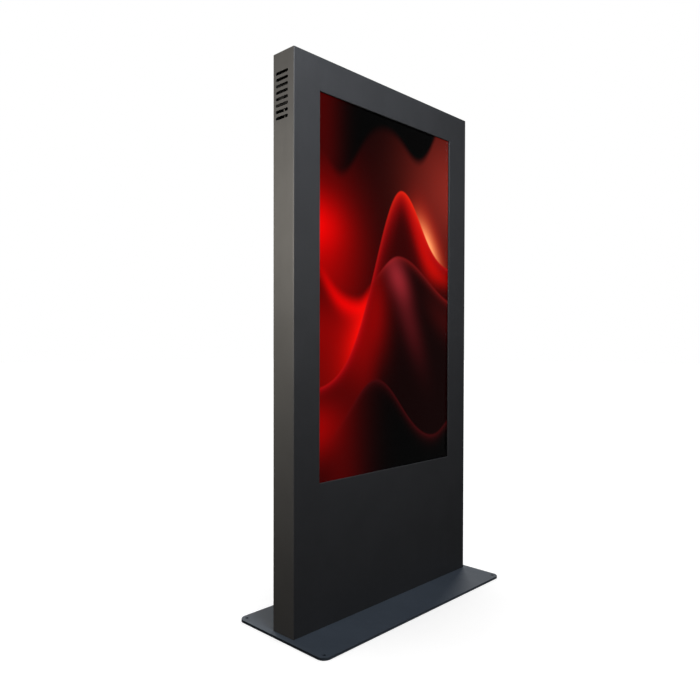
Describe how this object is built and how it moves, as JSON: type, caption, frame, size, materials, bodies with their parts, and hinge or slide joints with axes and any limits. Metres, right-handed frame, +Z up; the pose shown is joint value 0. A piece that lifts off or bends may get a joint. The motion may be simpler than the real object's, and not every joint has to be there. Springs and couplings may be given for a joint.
{
  "type": "touchscreen kiosk",
  "caption": "Free-standing portrait touchscreen kiosk: slim coated steel enclosure on a flat base plate, large display behind touch glass, side vents and a hinged rear service door.",
  "frame": {"origin": "centre of the base plate's underside, on the floor", "axes": "+Z up, the screen faces -Y, +X to the right as seen from the front"},
  "size_m": [0.94, 0.4, 1.78],
  "materials": {
    "enclosure_coating": "satin charcoal powder coat with a fine texture",
    "base_coating": "satin charcoal powder coat, slightly bluer",
    "bare_steel": "zinc-coated sheet, cut edges",
    "zinc": "bright zinc plate",
    "hinge_steel": "coated with the enclosure",
    "lock_brass": "nickelled brass",
    "contact_brass": "plated contacts",
    "touch_glass": "clear tempered glass, polished",
    "screen_picture": "lit picture behind the glass, emissive",
    "foam": "closed-cell foam strip",
    "diffuser_white": "white translucent sheet",
    "tray_aluminium": "mill finish",
    "supply_aluminium": "perforated case",
    "circuit_board": "solder mask with fitted components",
    "black_plastic": "moulded",
    "player_case": "black coated case",
    "rocker_plastic": "moulded, gloss",
    "lead_sheath": "soft cable sheath"
  },
  "bodies": {
    "cabinet": {"backlight_tray": "tray_aluminium", "base_bolt_1": "zinc", "base_bolt_2": "zinc", "base_bolt_3": "zinc", "base_bolt_4": "zinc", "base_channel": "bare_steel", "base_plate": "base_coating", "cross_member_lower": "bare_steel", "cross_member_upper": "bare_steel", "diffuser_plate": "diffuser_white", "display_mainboard": "circuit_board", "display_power_board": "circuit_board", "display_power_lead": "lead_sheath", "display_rail_left": "bare_steel", "display_rail_right": "bare_steel", "door_gasket": "foam", "door_rebate_frame": "enclosure_coating", "enclosure_shell": "enclosure_coating", "entry_plate": "enclosure_coating", "equipment_bracket": "bare_steel", "fan_frame_left": "black_plastic", "fan_frame_right": "black_plastic", "fan_lead_left": "lead_sheath", "fan_lead_right": "lead_sheath", "glass_gasket": "foam", "hinge_frame_leaf_1": "hinge_steel", "hinge_frame_leaf_2": "hinge_steel", "hinge_frame_leaf_3": "hinge_steel", "hinge_pin_1": "zinc", "hinge_pin_2": "zinc", "hinge_pin_3": "zinc", "inlet_earth_pin": "contact_brass", "inlet_live_pin": "contact_brass", "inlet_neutral_pin": "contact_brass", "lcd_panel": "screen_picture", "mains_lead": "lead_sheath", "media_player": "player_case", "network_socket": "black_plastic", "player_power_lead": "lead_sheath", "power_inlet": "black_plastic", "power_supply": "supply_aluminium", "power_switch_housing": "black_plastic", "touch_controller_board": "circuit_board", "touch_glass": "touch_glass", "touch_lead": "lead_sheath", "video_lead": "lead_sheath"},
    "rear_door_assembly": {"rear_door": "enclosure_coating", "hinge_door_leaf_1": "hinge_steel", "hinge_door_leaf_2": "hinge_steel", "hinge_door_leaf_3": "hinge_steel", "lower_lock_body": "zinc", "upper_lock_body": "zinc"},
    "lower_lock": {"lower_lock_plug": "lock_brass", "lower_lock_cam": "zinc"},
    "upper_lock": {"upper_lock_plug": "lock_brass", "upper_lock_cam": "zinc"},
    "power_rocker": {"power_switch_rocker": "rocker_plastic"},
    "left_rotor": {"fan_rotor_left": "black_plastic"},
    "right_rotor": {"fan_rotor_right": "black_plastic"}
  },
  "joints": [
    {"name": "rear_door_hinge", "type": "hinge", "parent": "cabinet", "child": "rear_door_assembly", "pos_m": [-0.42335, 0.0523, 0.973], "axis": [0, 0, 1], "range_deg": [0, 110]},
    {"name": "lower_lock_turn", "type": "hinge", "parent": "rear_door_assembly", "child": "lower_lock", "pos_m": [0.395, 0.04, 0.493], "axis": [0, -1, 0], "range_deg": [0, 90]},
    {"name": "upper_lock_turn", "type": "hinge", "parent": "rear_door_assembly", "child": "upper_lock", "pos_m": [0.395, 0.04, 1.453], "axis": [0, -1, 0], "range_deg": [0, 90]},
    {"name": "power_switch_rock", "type": "hinge", "parent": "cabinet", "child": "power_rocker", "pos_m": [-0.238, 0.05, 0.095], "axis": [1, 0, 0], "range_deg": [0, 20]},
    {"name": "left_fan_spin", "type": "hinge", "parent": "cabinet", "child": "left_rotor", "pos_m": [-0.441, 0.007, 1.6501], "axis": [1, 0, 0], "continuous": true},
    {"name": "right_fan_spin", "type": "hinge", "parent": "cabinet", "child": "right_rotor", "pos_m": [0.441, 0.007, 1.6501], "axis": [1, 0, 0], "continuous": true}
  ]
}
